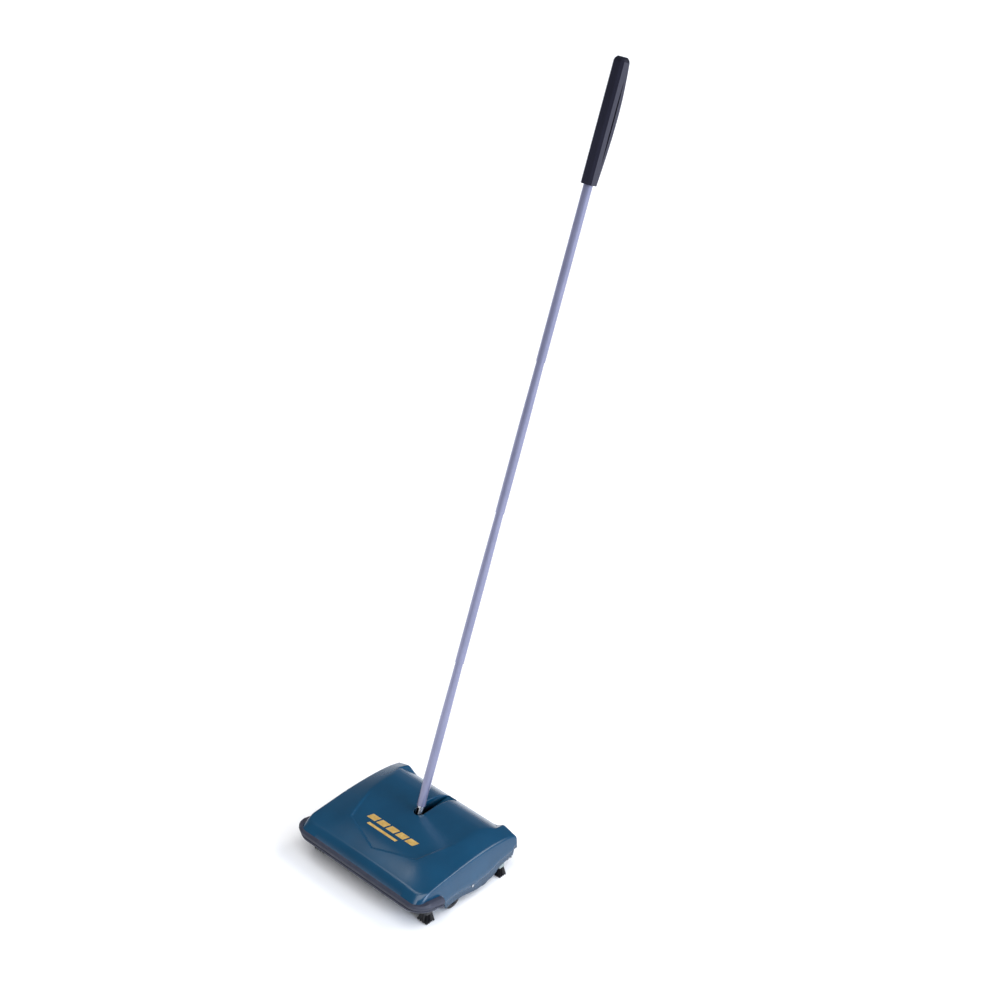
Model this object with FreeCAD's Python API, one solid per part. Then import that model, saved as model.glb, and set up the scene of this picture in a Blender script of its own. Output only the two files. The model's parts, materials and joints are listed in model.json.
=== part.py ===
import FreeCAD, Part
import math
import os

# Manual carpet sweeper. Millimetres, +Z up, X to the right, -Y the bumper side.
# The origin is on the floor under the middle of the head.

V = FreeCAD.Vector

# ---- head, overall ----------------------------------------------------------
HEAD_WIDTH = 257.0          # over the bumper
HEAD_FRONT = 100.2          # origin to the bumper's face
HEAD_REAR = 99.0            # origin to the hood's rear wall
SHEET = 1.8                 # wall of the hood
RUN_GAP = 0.3               # between faces that move past each other
FLOOR_GAP = 0.25            # tyres and brush roll above the tips of the corner brushes

# ---- bumper -----------------------------------------------------------------
BUMPER_PROUD = 7.0          # beyond the hood's walls, on the sides and in front
BUMPER_PROUD_FRONT = 4.2
BUMPER_LOW = 36.5
BUMPER_HIGH = 50.5
BUMPER_CORNER = 21.0        # corner radius of the bumper's top edge, from which the hood's follows
BUMPER_END_Y = -53.0        # where the arms' top edge ends
BUMPER_END_SLANT = 4.0
BUMPER_END_LOW = 31.0
BUMPER_END_HIGH = 44.5
RIB_RELIEF = 1.6            # depth of the groove between the two ribs

# ---- hood -------------------------------------------------------------------
SIDE_DRAFT = 0.09           # how far the side wall leans in per mm of height
LIP_RUN = 11.1              # front lip: depth and rise from the bumper to the crease
LIP_RISE = 10.5
LIP_SPREAD = 2.7            # the lip's slope is carried on this many times as high, above the top
LIP_CORNER_GROWTH = 1.5     # how much larger the corner radius is up there
HOOD_CORNER_REAR = 5.0
# Stations along the hood: y, height of the side crease, half width and height of the ridge.
HOOD_STATIONS = (
    (-97.0, 57.0, 82.0, 58.0),
    (-80.0, 60.2, 77.0, 62.4),
    (-45.0, 63.2, 72.0, 71.6),
    (0.0, 66.0, 78.0, 76.4),
    (45.0, 65.4, 85.0, 77.0),
    (78.0, 61.8, 90.0, 72.0),
    (101.0, 56.0, 94.0, 63.5),
)
CREASE_X = 117.0            # where the crease heights are stated
HOOD_EDGE_X = 126.0         # the top surface runs out to here, past the side walls
# Sunk panel: its floor's line along the middle, and its half widths.
PANEL_LINE = (
    (-72.0, 61.4),
    (-45.0, 68.8),
    (10.0, 74.0),
    (45.0, 74.8),
    (62.0, 73.0),
    (82.0, 66.0),
    (101.0, 50.5),
)
PANEL_NOSE_Y = -66.0
PANEL_SHOULDER_Y = -45.0
PANEL_FOOT_FRONT = 63.5
PANEL_FOOT_REAR = 76.0
PANEL_WALL_LEAN_FRONT = 1.0
PANEL_WALL_LEAN_REAR = 1.55
# Lower edge of the hood's sides: y and z, front to rear.
SKIRT_STEP_Y = -46.5
SKIRT_TAB_FRONT = 18.0
SKIRT_TAB_REAR = 13.0
SKIRT_TAB_REAR_Y = 16.0
SKIRT_MID_Y = -8.0
SKIRT_ARCH_FRONT = 19.5
SKIRT_ARCH_REAR = 14.0
SKIRT_REAR_LINE = ((51.0, 17.5), (62.0, 24.0), (90.0, 28.5), (93.0, 36.0))

# ---- handle slot and trough -------------------------------------------------
SLOT_PLAY = 1.65            # between the handle tube and each side of the slot
SLOT_LEAD = 4.05            # how far the slot's front end cuts into the tube's line at the pivot
SLOT_REAR_Y = 60.0
TROUGH_LOW = 55.5           # trough floor where it starts and where it runs out
TROUGH_HIGH = 60.5
TROUGH_END_Y = 94.0

# ---- handle -----------------------------------------------------------------
LEAN = 19.5                 # degrees back from upright, at the front stop
PIVOT_Y = 19.3
PIVOT_Z = 59.6
PIN_R = 2.5
TUBE_R = 6.35
TUBE_NECK_R = 5.6           # where a section's top meets the next section's rim
TUBE_WALL = 1.0
FIT = 0.05                  # radial clearance of a sliding or running fit
SOCKET_DEPTH = 30.0
TUBE_STARTS = (26.0, 245.0, 465.0, 677.0)
TUBE_TOP = 1010.0
FORK_SLOT_HALF = 2.25
FORK_PLUG = 34.0
GRIP_START = 914.0
GRIP_LENGTH = 163.5
GRIP_HALF = 9.0
GRIP_SWELL = 6.2
GRIP_CHAMFER = 3.4
GRIP_SWELL_AT = 0.58
GROOVE_LENGTH = 112.0       # long thin groove in each side of the grip
GROOVE_WIDTH = 3.0
GROOVE_DEPTH = 1.0
GROOVE_AT = 0.5
GROOVE_BACK = 4.0           # behind the handle's axis

# ---- brush roll -------------------------------------------------------------
ROLL_Y = 8.0
ROLL_R = 24.0
CORE_R = 9.0
ROLL_HALF = 96.0
ROLL_ROWS = 4
ROW_TURN = 150.0            # degrees that a bristle row winds over the roll's length
AXLE_R = 3.0
SPIGOT_R = 2.0

# ---- wheels -----------------------------------------------------------------
WHEEL_R = 14.5
WHEEL_SPREAD = 31.0         # each wheel's centre ahead of or behind the roll
WHEEL_IN = 104.5
WHEEL_OUT = 112.5
HUB_R = 10.5
STUB_R = 2.5

# ---- frame ------------------------------------------------------------------
FRAME_IN = 100.0
FRAME_PLATE = 1.5
FRAME_FRONT = -88.0
FRAME_REAR = 93.0
RAIL_HIGH_FRONT = 54.0
RAIL_HIGH_REAR = 48.0
RAIL_DEPTH = 15.0
RAIL_DROP = 13.0

# ---- dust pans --------------------------------------------------------------
PAN_HALF = 91.5
PAN_SHEET = 1.2
PAN_ROD_R = 2.0
FRONT_HINGE = (-76.0, 36.0)
REAR_HINGE = (86.0, 38.0)
CRANK_ARM = 11.7
CRANK_PIN_R = 1.5
OPENER_IN = 113.6
OPENER_PLATE = 1.5
GUIDE_YS = (-40.0, 50.0)    # studs that carry the opener

# ---- corner brushes ---------------------------------------------------------
TUFT_FRONT_X = (93.0, 112.5)
TUFT_FRONT_Y = (-73.0, -57.5)
TUFT_REAR_X = (104.0, 119.0)
TUFT_REAR_Y = (64.5, 78.0)
TUFT_TOP = 15.0
TUFT_FLARE = 1.6
BLOCK_IN = 98.5
BLOCK_TOP = 30.8

# ---- worked out -------------------------------------------------------------
HOOD_HALF = HEAD_WIDTH / 2 - BUMPER_PROUD
HOOD_FRONT = -(HEAD_FRONT - BUMPER_PROUD_FRONT)
HOOD_CORNER = BUMPER_CORNER - BUMPER_PROUD
ROLL_Z = ROLL_R + FLOOR_GAP
WHEEL_Z = WHEEL_R + FLOOR_GAP
WHEEL_REACH = math.hypot(WHEEL_SPREAD, ROLL_Z - WHEEL_Z)
RING_R = WHEEL_REACH - WHEEL_R - RUN_GAP
SLOT_HALF = TUBE_R + SLOT_PLAY
SLOT_FRONT_Y = PIVOT_Y - TUBE_R + SLOT_LEAD
EAR_IN = SLOT_HALF + SHEET + 0.6
EAR_OUT = EAR_IN + 2.0
HOOD_UNDER = PANEL_LINE[2][1] - SHEET - 0.5
SIDES = (("left", -1), ("right", 1))
ENDS = (("front", -1), ("rear", 1))
FAR = 150.0                 # beyond everything, for cutting tools
SKY = 100.0
DRAFT_BASE_Z = 10.0


def save(node, shape):
    """Write one sub-part."""
    if len(shape.Solids) == 1:
        shape = shape.Solids[0]
    shape.exportStep("parts/" + node + ".step")


def box(x0, x1, y0, y1, z0, z1):
    return Part.makeBox(abs(x1 - x0), abs(y1 - y0), abs(z1 - z0), V(min(x0, x1), min(y0, y1), min(z0, z1)))


def rod(radius, x0, x1, y, z):
    """Round bar along X."""
    return Part.makeCylinder(radius, abs(x1 - x0), V(min(x0, x1), y, z), V(1, 0, 0))


def ring(outer, inner, x0, x1, y, z):
    return rod(outer, x0, x1, y, z).cut(rod(inner, x0, x1, y, z))


def plate(points, x0, x1):
    """Flat plate of a (y, z) outline, from x0 to x1."""
    wire = Part.makePolygon([V(min(x0, x1), y, z) for y, z in points + (points[0],)])
    return Part.Face(wire).extrude(V(abs(x1 - x0), 0, 0))


def strip(points, thickness):
    """Closed (y, z) outline of sheet metal that follows a bent line, on the line's left."""
    offset = []
    for i, here in enumerate(points):
        normals = []
        for a, b in ((i - 1, i), (i, i + 1)):
            if a >= 0 and b < len(points):
                dy = points[b][0] - points[a][0]
                dz = points[b][1] - points[a][1]
                run = math.hypot(dy, dz)
                normals.append((-dz / run, dy / run))
        ny = sum(n[0] for n in normals) / len(normals)
        nz = sum(n[1] for n in normals) / len(normals)
        scale = thickness / (ny * ny + nz * nz)
        offset.append((here[0] + ny * scale, here[1] + nz * scale))
    return tuple(points) + tuple(reversed(offset))


def mirror(shape, side):
    """The same piece on the other side of the head."""
    if side > 0:
        return shape
    return shape.mirror(V(0, 0, 0), V(1, 0, 0))


# ---- hood -------------------------------------------------------------------
def outline(z, half, front, rear, corner_front, corner_rear):
    """Plan outline with rounded corners, as a wire at height z."""
    corners = (
        (half, front, corner_front, 1, -1),
        (half, rear, corner_rear, 1, 1),
        (-half, rear, corner_rear, -1, 1),
        (-half, front, corner_front, -1, -1),
    )
    edges = []
    last = None
    first = None
    for x, y, r, sx, sy in corners:
        centre = V(x - sx * r, y - sy * r, z)
        mid = centre + V(sx * r * math.sqrt(0.5), sy * r * math.sqrt(0.5), 0)
        along_x = V(x - sx * r, y, z)
        along_y = V(x, y - sy * r, z)
        start, end = (along_x, along_y) if sx * sy < 0 else (along_y, along_x)
        if last is not None:
            edges.append(Part.makeLine(last, start))
        else:
            first = start
        edges.append(Part.Arc(start, mid, end).toShape())
        last = end
    edges.append(Part.makeLine(last, first))
    return Part.Wire(edges)


def half_at(z):
    """Half width of the drafted side wall at height z."""
    return HOOD_HALF - (z - DRAFT_BASE_Z) * SIDE_DRAFT


def hood_walls(inset, low):
    """Solid inside the hood's drafted side walls and sloping front lip."""
    top = BUMPER_HIGH + LIP_SPREAD * LIP_RISE
    front_top = HOOD_FRONT + LIP_SPREAD * LIP_RUN
    corner = HOOD_CORNER - inset
    rear_corner = HOOD_CORNER_REAR - inset
    rear = HEAD_REAR - inset
    lower = Part.makeLoft([
        outline(low, half_at(low) - inset, HOOD_FRONT + inset, rear, corner, rear_corner),
        outline(BUMPER_HIGH, half_at(BUMPER_HIGH) - inset, HOOD_FRONT + inset, rear, corner, rear_corner),
    ], True, True)
    upper = Part.makeLoft([
        outline(BUMPER_HIGH, half_at(BUMPER_HIGH) - inset, HOOD_FRONT + inset, rear, corner, rear_corner),
        outline(top, half_at(top) - inset, front_top + inset, rear, corner * LIP_CORNER_GROWTH, rear_corner),
    ], True, True)
    return lower.fuse(upper)


def hood_top(inset):
    """Solid under the hood's top surface."""
    wires = []
    for y, crease_z, ridge_x, ridge_z in HOOD_STATIONS:
        fall = (ridge_z - crease_z) / (CREASE_X - ridge_x)
        edge_z = ridge_z - fall * (HOOD_EDGE_X - ridge_x) - inset
        low, half, top = -FAR, HOOD_EDGE_X, ridge_z - inset
        points = [V(-half, y, low), V(half, y, low), V(half, y, edge_z),
                  V(ridge_x, y, top), V(-ridge_x, y, top), V(-half, y, edge_z)]
        wires.append(Part.makePolygon(points + [points[0]]))
    return Part.makeLoft(wires, True, False)


def panel_recess(inset):
    """Space above the sunk panel of the hood's top."""
    curve = Part.BSplineCurve()
    curve.interpolate([V(-FAR, y, z - inset) for y, z in PANEL_LINE])
    start = V(-FAR, PANEL_LINE[0][0], PANEL_LINE[0][1] - inset)
    end = V(-FAR, PANEL_LINE[-1][0], PANEL_LINE[-1][1] - inset)
    over = Part.Wire([
        curve.toShape(),
        Part.makeLine(end, V(-FAR, end.y, SKY)),
        Part.makeLine(V(-FAR, end.y, SKY), V(-FAR, start.y, SKY)),
        Part.makeLine(V(-FAR, start.y, SKY), start),
    ])
    above = Part.Face(over).extrude(V(2 * FAR, 0, 0))
    sections = []
    for y, foot, foot_z, lean in (
        (PANEL_SHOULDER_Y, PANEL_FOOT_FRONT, PANEL_LINE[1][1], PANEL_WALL_LEAN_FRONT),
        (PANEL_LINE[-1][0], PANEL_FOOT_REAR, PANEL_LINE[-1][1], PANEL_WALL_LEAN_REAR),
    ):
        low = foot + inset - lean * (foot_z - 40.0)
        high = foot + inset + lean * (SKY - foot_z)
        points = [V(-low, y, 40.0), V(low, y, 40.0), V(high, y, SKY), V(-high, y, SKY)]
        sections.append(Part.makePolygon(points + [points[0]]))
    between = Part.makeLoft(sections, True, True)
    nose_half = PANEL_FOOT_FRONT + inset
    nose = Part.makePolygon([
        V(-nose_half, PANEL_SHOULDER_Y, 40.0), V(nose_half, PANEL_SHOULDER_Y, 40.0),
        V(0, PANEL_NOSE_Y - inset, 40.0), V(-nose_half, PANEL_SHOULDER_Y, 40.0),
    ])
    wedge = Part.Face(nose).extrude(V(0, 0, SKY - 40.0))
    return above.common(between).fuse(above.common(wedge))


def trough(extra):
    """Slot and trough for the handle; with extra, the block that its walls are cut from."""
    half = SLOT_HALF + extra
    if extra:
        line = ((SLOT_FRONT_Y - extra, 71.0), (46.0, 57.0), (SLOT_REAR_Y - extra, TROUGH_LOW - extra),
                (TROUGH_END_Y, TROUGH_HIGH - extra))
    else:
        line = ((SLOT_FRONT_Y, 30.0), (SLOT_REAR_Y, 30.0), (SLOT_REAR_Y, TROUGH_LOW),
                (TROUGH_END_Y, TROUGH_HIGH))
    last_y, last_z = line[-1]
    slope = (TROUGH_HIGH - TROUGH_LOW) / (TROUGH_END_Y - SLOT_REAR_Y)
    tail = ((FAR, last_z + slope * (FAR - last_y)), (FAR, SKY), (line[0][0], SKY))
    solid = plate(line + tail, -half, half)
    plan = box(-half, half, SLOT_FRONT_Y + SLOT_HALF, FAR, 0, SKY)
    nose = Part.makeCylinder(half, SKY, V(0, SLOT_FRONT_Y + SLOT_HALF, 0))
    return solid.common(plan.fuse(nose))


def skirt_cut():
    """Space below the hood's lower edge."""
    rear = SKIRT_REAR_LINE
    below = Part.Wire([
        Part.makeLine(V(-FAR, -FAR, -1), V(-FAR, -FAR, BUMPER_LOW)),
        Part.makeLine(V(-FAR, -FAR, BUMPER_LOW), V(-FAR, SKIRT_STEP_Y, BUMPER_LOW)),
        Part.makeLine(V(-FAR, SKIRT_STEP_Y, BUMPER_LOW), V(-FAR, SKIRT_STEP_Y, SKIRT_TAB_FRONT)),
        Part.makeLine(V(-FAR, SKIRT_STEP_Y, SKIRT_TAB_FRONT), V(-FAR, SKIRT_STEP_Y + 5, SKIRT_TAB_FRONT)),
        Part.Arc(V(-FAR, SKIRT_STEP_Y + 5, SKIRT_TAB_FRONT),
                 V(-FAR, (SKIRT_STEP_Y + 5 + SKIRT_MID_Y) / 2, SKIRT_ARCH_FRONT),
                 V(-FAR, SKIRT_MID_Y, SKIRT_TAB_FRONT)).toShape(),
        Part.makeLine(V(-FAR, SKIRT_MID_Y, SKIRT_TAB_FRONT), V(-FAR, SKIRT_TAB_REAR_Y, SKIRT_TAB_REAR)),
        Part.Arc(V(-FAR, SKIRT_TAB_REAR_Y, SKIRT_TAB_REAR),
                 V(-FAR, (SKIRT_TAB_REAR_Y + rear[0][0]) / 2, SKIRT_ARCH_REAR),
                 V(-FAR, rear[0][0], rear[0][1])).toShape(),
        Part.makeLine(V(-FAR, *rear[0]), V(-FAR, *rear[1])),
        Part.makeLine(V(-FAR, *rear[1]), V(-FAR, *rear[2])),
        Part.makeLine(V(-FAR, *rear[2]), V(-FAR, *rear[3])),
        Part.makeLine(V(-FAR, *rear[3]), V(-FAR, FAR, rear[3][1])),
        Part.makeLine(V(-FAR, FAR, rear[3][1]), V(-FAR, FAR, -1)),
        Part.makeLine(V(-FAR, FAR, -1), V(-FAR, -FAR, -1)),
    ])
    return Part.Face(below).extrude(V(2 * FAR, 0, 0))


def hood_outside():
    return hood_walls(0, DRAFT_BASE_Z).common(hood_top(0)).cut(panel_recess(0))


def hood_shell(outside):
    inside = hood_walls(SHEET, -5.0).common(hood_top(SHEET)).cut(panel_recess(SHEET))
    inside = inside.cut(trough(SHEET))
    shell = outside.cut(inside).cut(skirt_cut()).cut(trough(0))
    for _, side in SIDES:
        shell = shell.cut(rod(SPIGOT_R + RUN_GAP, side * 100.0, side * FAR, ROLL_Y, ROLL_Z))
    return shell


def bumper(outside):
    """Rubber strip round the front, with two ribs and a groove between them, and an arm along each side."""
    half = HEAD_WIDTH / 2
    tall = BUMPER_HIGH - BUMPER_LOW
    end_tall = BUMPER_END_HIGH - BUMPER_END_LOW
    # Each band: its low and high edge as shares of the height, how far back it is, and its corner radius.
    bands = ((0.0, 0.12, 1.2, 33.0), (0.12, 0.42, 0.0, 31.0), (0.42, 0.56, RIB_RELIEF, 28.0),
             (0.56, 0.86, 0.0, 24.0), (0.86, 1.0, 1.4, BUMPER_CORNER))
    solid = None
    for low, high, back, corner in bands:
        wire = outline(BUMPER_LOW + low * tall, half - back, -HEAD_FRONT + back, 0, corner - back, 1.0)
        band = Part.Face(wire).extrude(V(0, 0, (high - low) * tall))
        band = band.cut(box(-FAR, FAR, -HEAD_FRONT + corner, FAR, 0, SKY))
        corners = [(-HEAD_FRONT + corner, BUMPER_LOW + share * tall) for share in (low, high)]
        ends = [(BUMPER_END_Y - BUMPER_END_SLANT * (1 - share), BUMPER_END_LOW + share * end_tall)
                for share in (high, low)]
        band = band.fuse(plate(tuple(corners + ends), -half + back, half - back))
        solid = band if solid is None else solid.fuse(band)
    wrap = half - BUMPER_PROUD - 8.0
    core = Part.Face(outline(20.0, wrap, HOOD_FRONT + 1.0, 1.0, HOOD_CORNER - 1.0, 1.0)).extrude(V(0, 0, 50))
    return solid.cut(core).cut(outside)


# ---- frame ------------------------------------------------------------------
def side_frame():
    """Pressed side plate on the right: it carries the roll's bush, the wheel axles and the pan rods."""
    low = WHEEL_Z - 6.5
    front_foot = ROLL_Y - WHEEL_SPREAD - 11.0
    rear_foot = ROLL_Y + WHEEL_SPREAD + 11.0
    shape = plate((
        (FRAME_FRONT, BLOCK_TOP + 0.1), (front_foot - 16, BLOCK_TOP + 0.1), (front_foot, low), (rear_foot, low),
        (rear_foot + 12, BLOCK_TOP + 0.1), (FRAME_REAR, BLOCK_TOP + 0.1), (FRAME_REAR, RAIL_HIGH_REAR + 3),
        (60.0, 61.0), (-40.0, 60.0), (FRAME_FRONT, RAIL_HIGH_FRONT),
    ), FRAME_IN, FRAME_IN + FRAME_PLATE)
    shape = shape.cut(rod(AXLE_R + 3.0, 90, 120, ROLL_Y, ROLL_Z))
    for _, end in ENDS:
        shape = shape.cut(rod(STUB_R, 90, 120, ROLL_Y + end * WHEEL_SPREAD, WHEEL_Z))
    for y, z in (FRONT_HINGE, REAR_HINGE):
        shape = shape.cut(rod(PAN_ROD_R + FIT, 90, 120, y, z))
    window = ((-62.0, 38.0), (-30.0, 38.0), (-30.0, 52.0), (-62.0, 50.0))
    shape = shape.cut(plate(window, 90, 120))
    return shape.cut(plate(tuple((2 * ROLL_Y - y, z) for y, z in window), 90, 120))


def rail(end):
    """Angle bar across the head, between the two side plates."""
    if end < 0:
        y, inward, top = FRAME_FRONT, 1, RAIL_HIGH_FRONT
    else:
        y, inward, top = FRAME_REAR, -1, RAIL_HIGH_REAR
    web = box(-FRAME_IN, FRAME_IN, y, y + inward * FRAME_PLATE, top - RAIL_DROP, top)
    shelf = box(-FRAME_IN, FRAME_IN, y, y + inward * RAIL_DEPTH, top - FRAME_PLATE, top)
    return web.fuse(shelf)


def frame_rivets():
    """Rivets that hold the rails' ends to the side plates."""
    solids = []
    out = FRAME_IN + FRAME_PLATE
    for _, side in SIDES:
        for y, z in ((FRAME_FRONT + 5, RAIL_HIGH_FRONT - 9), (FRAME_REAR - 5, RAIL_HIGH_REAR - 5)):
            solids.append(rod(2.6, side * out, side * (out + 1.3), y, z))
    return Part.makeCompound(solids)


# ---- handle mounting --------------------------------------------------------
def bracket():
    """Pressed U bracket under the hood: two ears for the pivot pin, with flanges riveted to the hood."""
    solid = None
    for _, side in SIDES:
        ear = plate(((PIVOT_Y - 7, PIVOT_Z - 4), (PIVOT_Y - 4, PIVOT_Z - 7), (PIVOT_Y + 4, PIVOT_Z - 7),
                     (PIVOT_Y + 7, PIVOT_Z - 4), (PIVOT_Y + 12, HOOD_UNDER), (PIVOT_Y - 14, HOOD_UNDER)),
                    side * EAR_IN, side * EAR_OUT)
        flange = box(side * EAR_IN, side * (EAR_OUT + 14), PIVOT_Y - 14, PIVOT_Y + 12, HOOD_UNDER - 2, HOOD_UNDER)
        piece = ear.fuse(flange)
        solid = piece if solid is None else solid.fuse(piece)
    bridge = box(-EAR_OUT, EAR_OUT, PIVOT_Y - 14, PIVOT_Y - 8, HOOD_UNDER - 2, HOOD_UNDER)
    solid = solid.fuse(bridge)
    return solid.cut(rod(PIN_R, -40, 40, PIVOT_Y, PIVOT_Z))


def bracket_rivets():
    solids = []
    for _, side in SIDES:
        for y in (PIVOT_Y - 9, PIVOT_Y + 7):
            solids.append(Part.makeCylinder(2.4, 1.4, V(side * (EAR_OUT + 8), y, HOOD_UNDER - 3.4)))
    return Part.makeCompound(solids)


def pivot_pin():
    pin = rod(PIN_R, -EAR_OUT - 1.5, EAR_OUT + 1.5, PIVOT_Y, PIVOT_Z)
    return pin.fuse(rod(4.2, EAR_OUT, EAR_OUT + 1.5, PIVOT_Y, PIVOT_Z))


def pivot_bushes():
    """Nylon friction bushes between the fork and the bracket's ears."""
    solids = []
    for _, side in SIDES:
        solids.append(ring(5.0, PIN_R, side * (TUBE_R - TUBE_WALL), side * EAR_IN, PIVOT_Y, PIVOT_Z))
    return Part.makeCompound(solids)


# ---- handle -----------------------------------------------------------------
def lean(shape):
    """Take a piece built upright over the pivot to its resting lean."""
    shape = shape.copy()
    shape.rotate(V(0, 0, 0), V(1, 0, 0), -LEAN)
    shape.translate(V(0, PIVOT_Y, PIVOT_Z))
    return shape


def turned(profile):
    """Round piece about the handle's axis from (radius, height) points."""
    points = [V(r, 0, h) for r, h in profile]
    face = Part.Face(Part.makePolygon(points + [points[0]]))
    return face.revolve(V(0, 0, 0), V(0, 0, 1), 360)


def fork():
    """Turned steel end of the handle, slotted into two prongs round the pivot pin."""
    r = TUBE_R - TUBE_WALL - FIT
    body = Part.makeCylinder(r, TUBE_STARTS[0] + FORK_PLUG + 5.0, V(0, 0, -5.0))
    eye = rod(5.0, -r, r, 0, 0)
    below = box(-20, 20, -20, 20, -20, 0)
    body = body.cut(below).fuse(eye.common(Part.makeCylinder(r, 12, V(0, 0, -6))))
    body = body.cut(box(-FORK_SLOT_HALF, FORK_SLOT_HALF, -20, 20, -20, TUBE_STARTS[0] - 3.0))
    return lean(body.cut(rod(PIN_R + FIT, -20, 20, 0, 0)))


def tube(index):
    """One handle section: a socket at its foot, and a necked top that enters the next section."""
    start = TUBE_STARTS[index]
    bore = TUBE_R - TUBE_WALL
    inner = bore - FIT - TUBE_WALL
    foot = start + SOCKET_DEPTH + 6.0
    if index + 1 < len(TUBE_STARTS):
        end = TUBE_STARTS[index + 1]
        waist = start + 0.6 * (end - start)
        return lean(turned([
            (bore, start), (TUBE_R, start), (TUBE_R, waist), (TUBE_NECK_R, end), (bore - FIT, end),
            (bore - FIT, end + SOCKET_DEPTH - 2.0), (inner, end + SOCKET_DEPTH - 2.0), (inner, foot + 2.0),
            (bore, foot),
        ]))
    return lean(turned([
        (bore, start), (TUBE_R, start), (TUBE_R, TUBE_TOP), (inner, TUBE_TOP), (inner, foot + 2.0), (bore, foot),
    ]))


def grip_section(height, scale, swell):
    """Eight-sided section of the grip, flat in front and swelling to the rear."""
    a = GRIP_HALF * scale
    c = GRIP_CHAMFER * scale
    rear = a + swell
    points = [V(-a + c, -a, height), V(a - c, -a, height), V(a, -a + c, height), V(a, rear - c, height),
              V(a - c, rear, height), V(-a + c, rear, height), V(-a, rear - c, height), V(-a, -a + c, height)]
    return Part.makePolygon(points + [points[0]])


def grip():
    """Moulded grip: a long swelling body, a rounded top, a blind bore, and a groove along each side."""
    wires = []
    steps = 8
    body = GRIP_LENGTH - 6.0
    for i in range(steps + 1):
        t = i / steps
        if t < GRIP_SWELL_AT:
            swell = math.sin(t / GRIP_SWELL_AT * math.pi / 2)
        else:
            swell = math.cos((t - GRIP_SWELL_AT) / (1 - GRIP_SWELL_AT) * math.pi / 2)
        wires.append(grip_section(GRIP_START + t * body, 1.0, GRIP_SWELL * swell))
    solid = Part.makeLoft(wires, True, False)
    for low, high, wide in ((0.0, 3.0, (1.0, 0.9)), (3.0, 6.0, (0.9, 0.62))):
        cap = Part.makeLoft([grip_section(GRIP_START + body + low, wide[0], 0),
                             grip_section(GRIP_START + body + high, wide[1], 0)], True, True)
        solid = solid.fuse(cap)
    solid = solid.cut(Part.makeCylinder(TUBE_R + FIT, TUBE_TOP - GRIP_START + 1.0, V(0, 0, GRIP_START)))
    arc = (GROOVE_LENGTH ** 2 + GROOVE_WIDTH ** 2) / (4 * GROOVE_WIDTH)
    middle = GRIP_START + GROOVE_AT * GRIP_LENGTH
    shift = arc - GROOVE_WIDTH / 2
    for _, side in SIDES:
        x = side * (GRIP_HALF - GROOVE_DEPTH)
        lens = Part.makeCylinder(arc, 4.0, V(x, GROOVE_BACK - shift, middle), V(side, 0, 0))
        other = Part.makeCylinder(arc, 4.0, V(x, GROOVE_BACK + shift, middle), V(side, 0, 0))
        solid = solid.cut(lens.common(other))
    return lean(solid)


# ---- brush roll -------------------------------------------------------------
def bristle_row(start_angle):
    """One helical row of bristles, wider at the tips."""
    wires = []
    steps = 12
    for i in range(steps + 1):
        x = -ROLL_HALF + 1.5 + i * (2 * ROLL_HALF - 3.0) / steps
        turn = math.radians(start_angle + ROW_TURN * i / steps)
        points = []
        for radial, across in ((CORE_R - 1.0, -1.6), (ROLL_R, -2.6), (ROLL_R, 2.6), (CORE_R - 1.0, 1.6)):
            radius = math.hypot(radial, across) if radial < ROLL_R else ROLL_R
            angle = turn + math.atan2(across, radial)
            points.append(V(x, ROLL_Y + radius * math.cos(angle), ROLL_Z + radius * math.sin(angle)))
        wires.append(Part.makePolygon(points + [points[0]]))
    return Part.makeLoft(wires, True, True)


def brush_roll():
    core = rod(CORE_R, -ROLL_HALF + 1.5, ROLL_HALF - 1.5, ROLL_Y, ROLL_Z)
    rows = []
    for i in range(ROLL_ROWS):
        rows.append(bristle_row(i * 360.0 / ROLL_ROWS).cut(core))
    save("brush_bristles", Part.makeCompound(rows))
    save("brush_core", core.cut(rod(AXLE_R, -120, 120, ROLL_Y, ROLL_Z)))
    axle = rod(AXLE_R, -WHEEL_OUT - 2, WHEEL_OUT + 2, ROLL_Y, ROLL_Z)
    tip = half_at(ROLL_Z) + 0.8
    save("brush_axle", axle.fuse(rod(SPIGOT_R, -tip, tip, ROLL_Y, ROLL_Z)))
    for name, side in SIDES:
        cap = ring(CORE_R + 4.0, AXLE_R, side * (ROLL_HALF - 1.5), side * ROLL_HALF, ROLL_Y, ROLL_Z)
        save("roll_end_cap_" + name, cap)
        hub = ring(RING_R - 4.0, AXLE_R, side * (WHEEL_IN - 1), side * (WHEEL_OUT + 0.5), ROLL_Y, ROLL_Z)
        save("drive_hub_" + name, hub)
        band = ring(RING_R, RING_R - 4.0, side * WHEEL_IN, side * WHEEL_OUT, ROLL_Y, ROLL_Z)
        save("drive_ring_" + name, band)


def axle_bush(side):
    """Flanged bush of the roll's axle, pressed in the side plate."""
    y, z = ROLL_Y, ROLL_Z
    body = ring(AXLE_R + 3.0, AXLE_R + FIT, side * (FRAME_IN - 1.5), side * (FRAME_IN + FRAME_PLATE + 0.8), y, z)
    flange = ring(AXLE_R + 5.0, AXLE_R + FIT, side * (FRAME_IN - 1.5), side * FRAME_IN, y, z)
    return body.fuse(flange)


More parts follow.
